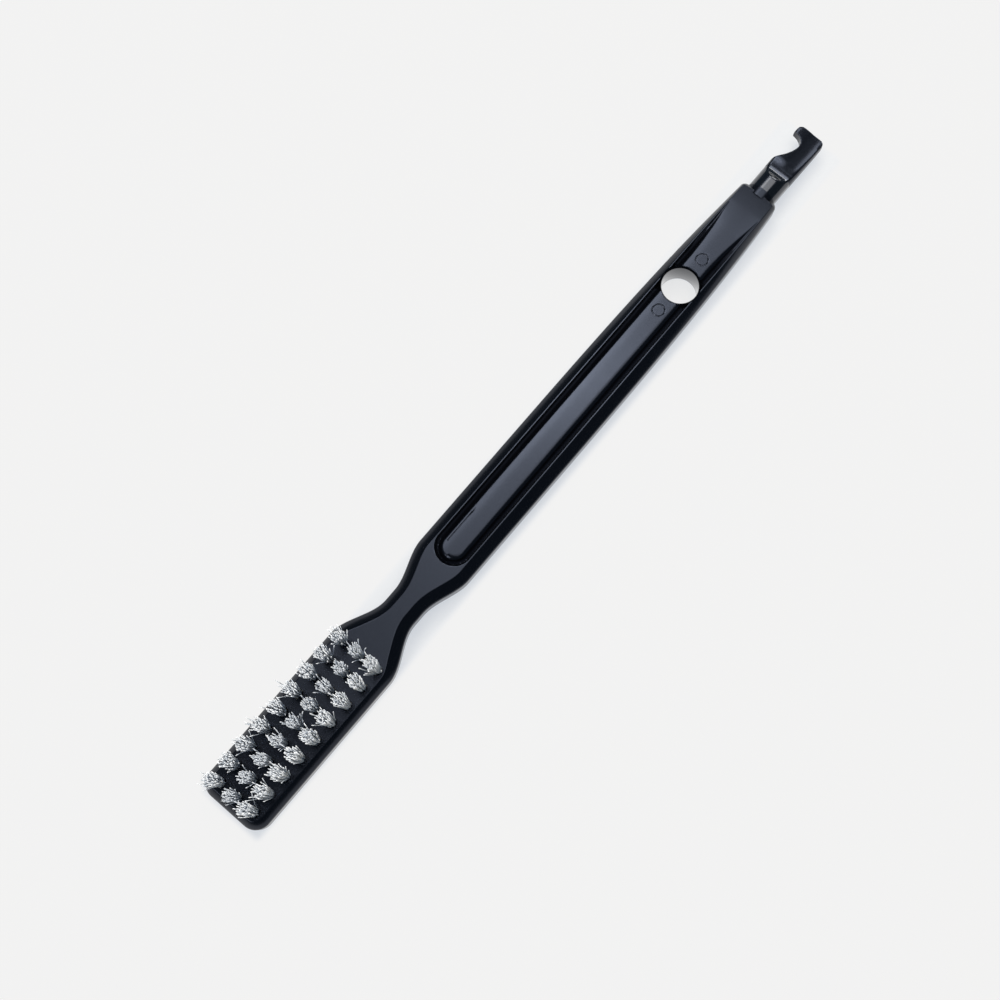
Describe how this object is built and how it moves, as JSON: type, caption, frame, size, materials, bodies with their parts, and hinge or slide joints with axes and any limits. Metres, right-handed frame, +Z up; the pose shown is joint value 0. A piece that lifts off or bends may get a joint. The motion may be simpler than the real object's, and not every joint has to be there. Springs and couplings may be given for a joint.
{
  "type": "crevice brush",
  "caption": "Slim one-piece cleaning brush with stiff tufts on a narrow head, a grip with a hanging hole and a flat hook at its tail.",
  "frame": {"origin": "under the middle of the brush, on the surface that its back lies on", "axes": "+X from the head to the hook, +Z up along the bristles, +Y towards the hook's throat"},
  "size_m": [0.22, 0.0184, 0.0206],
  "materials": {
    "black_plastic": "satin moulded plastic",
    "nylon": "translucent nylon filament",
    "anchor_wire": "drawn flat wire"
  },
  "bodies": {
    "root": {"handle": "black_plastic", "tuft_anchors": "anchor_wire", "tuft_a1": "nylon", "tuft_a2": "nylon", "tuft_a3": "nylon", "tuft_a4": "nylon", "tuft_a5": "nylon", "tuft_a6": "nylon", "tuft_a7": "nylon", "tuft_a8": "nylon", "tuft_a9": "nylon", "tuft_b1": "nylon", "tuft_b2": "nylon", "tuft_b3": "nylon", "tuft_b4": "nylon", "tuft_b5": "nylon", "tuft_b6": "nylon", "tuft_b7": "nylon", "tuft_b8": "nylon", "tuft_b9": "nylon", "tuft_c1": "nylon", "tuft_c2": "nylon", "tuft_c3": "nylon", "tuft_c4": "nylon", "tuft_c5": "nylon", "tuft_c6": "nylon", "tuft_c7": "nylon", "tuft_c8": "nylon", "tuft_c9": "nylon"}
  },
  "joints": []
}
